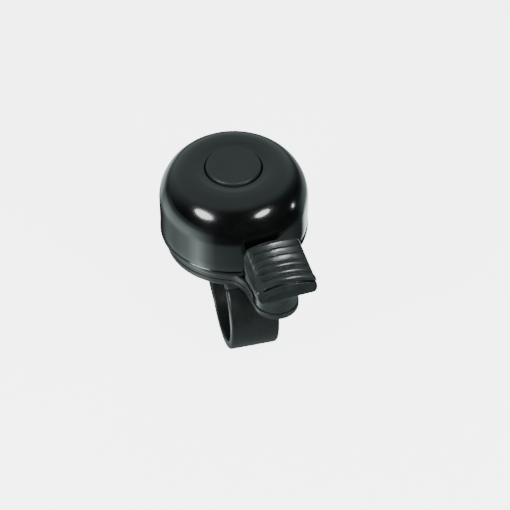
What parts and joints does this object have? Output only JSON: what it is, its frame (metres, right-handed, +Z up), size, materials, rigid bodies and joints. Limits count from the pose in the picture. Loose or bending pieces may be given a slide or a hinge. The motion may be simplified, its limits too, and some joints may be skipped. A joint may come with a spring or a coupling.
{
  "type": "bicycle bell",
  "caption": "Small handlebar bell: black steel dome on a plastic base with a sprung thumb lever, an inner hammer and a hinged screw clamp.",
  "frame": {"origin": "centre of the handlebar clamp's bore, midway across the band", "axes": "+X along the handlebar, +Z up along the dome's axis, the lever's ear towards -Y"},
  "size_m": [0.0382, 0.0515, 0.0502],
  "materials": {
    "dome_paint": "gloss black enamel",
    "cap_plastic": "satin moulded black",
    "black_plastic": "semi-gloss moulded black",
    "lever_plastic": "semi-gloss moulded black",
    "strap_plastic": "semi-gloss moulded black",
    "zinc_steel": "zinc plated",
    "spring_steel": "oiled spring steel",
    "brass": "turned",
    "nylon": "natural nylon",
    "rubber": "matt"
  },
  "bodies": {
    "root": {"dome": "dome_paint", "centre_cap": "cap_plastic", "dome_screw": "zinc_steel", "lock_washer": "zinc_steel", "dome_washer": "zinc_steel", "dome_bush": "nylon", "post_insert": "brass", "base_cup": "black_plastic", "cup_screws": "zinc_steel", "base_plate": "black_plastic", "ear_bush": "brass", "clip_washer": "zinc_steel", "rest_bumper": "rubber", "strap_pin": "zinc_steel", "clamp_nut": "zinc_steel"},
    "lever": {"thumb_lever": "lever_plastic", "pivot_pin": "zinc_steel", "pivot_clip": "spring_steel", "hammer_arm": "spring_steel", "hammer_head": "zinc_steel", "return_spring": "spring_steel"},
    "strap": {"clamp_strap": "strap_plastic"},
    "washer": {"clamp_washer": "zinc_steel"},
    "screw": {"clamp_screw": "zinc_steel"}
  },
  "joints": [
    {"name": "lever_pivot", "type": "hinge", "parent": "root", "child": "lever", "pos_m": [0.00455, -0.0155, 0.0133], "axis": [0, 0, 1], "range_deg": [-2, 12], "stiffness_Nm_per_rad": 0.1, "deforming": ["return_spring"]},
    {"name": "strap_hinge", "type": "hinge", "parent": "root", "child": "strap", "pos_m": [0, -0.00734, 0.00974], "axis": [-1, 0, 0], "range_deg": [0, 6.53]},
    {"name": "washer_slide", "type": "slide", "parent": "root", "child": "washer", "axis": [0, 0, -1], "range_m": [0, 0.0028]},
    {"name": "clamp_screw_turn", "type": "hinge", "parent": "washer", "child": "screw", "pos_m": [0, 0.0175, 0], "axis": [0, 0, -1], "range_deg": [0, 1440]}
  ],
  "couplings": [
    {"joint": "clamp_screw_turn", "follows": "washer_slide", "rad_per_m": 8976},
    {"joint": "strap_hinge", "follows": "washer_slide", "rad_per_m": 40.666}
  ]
}
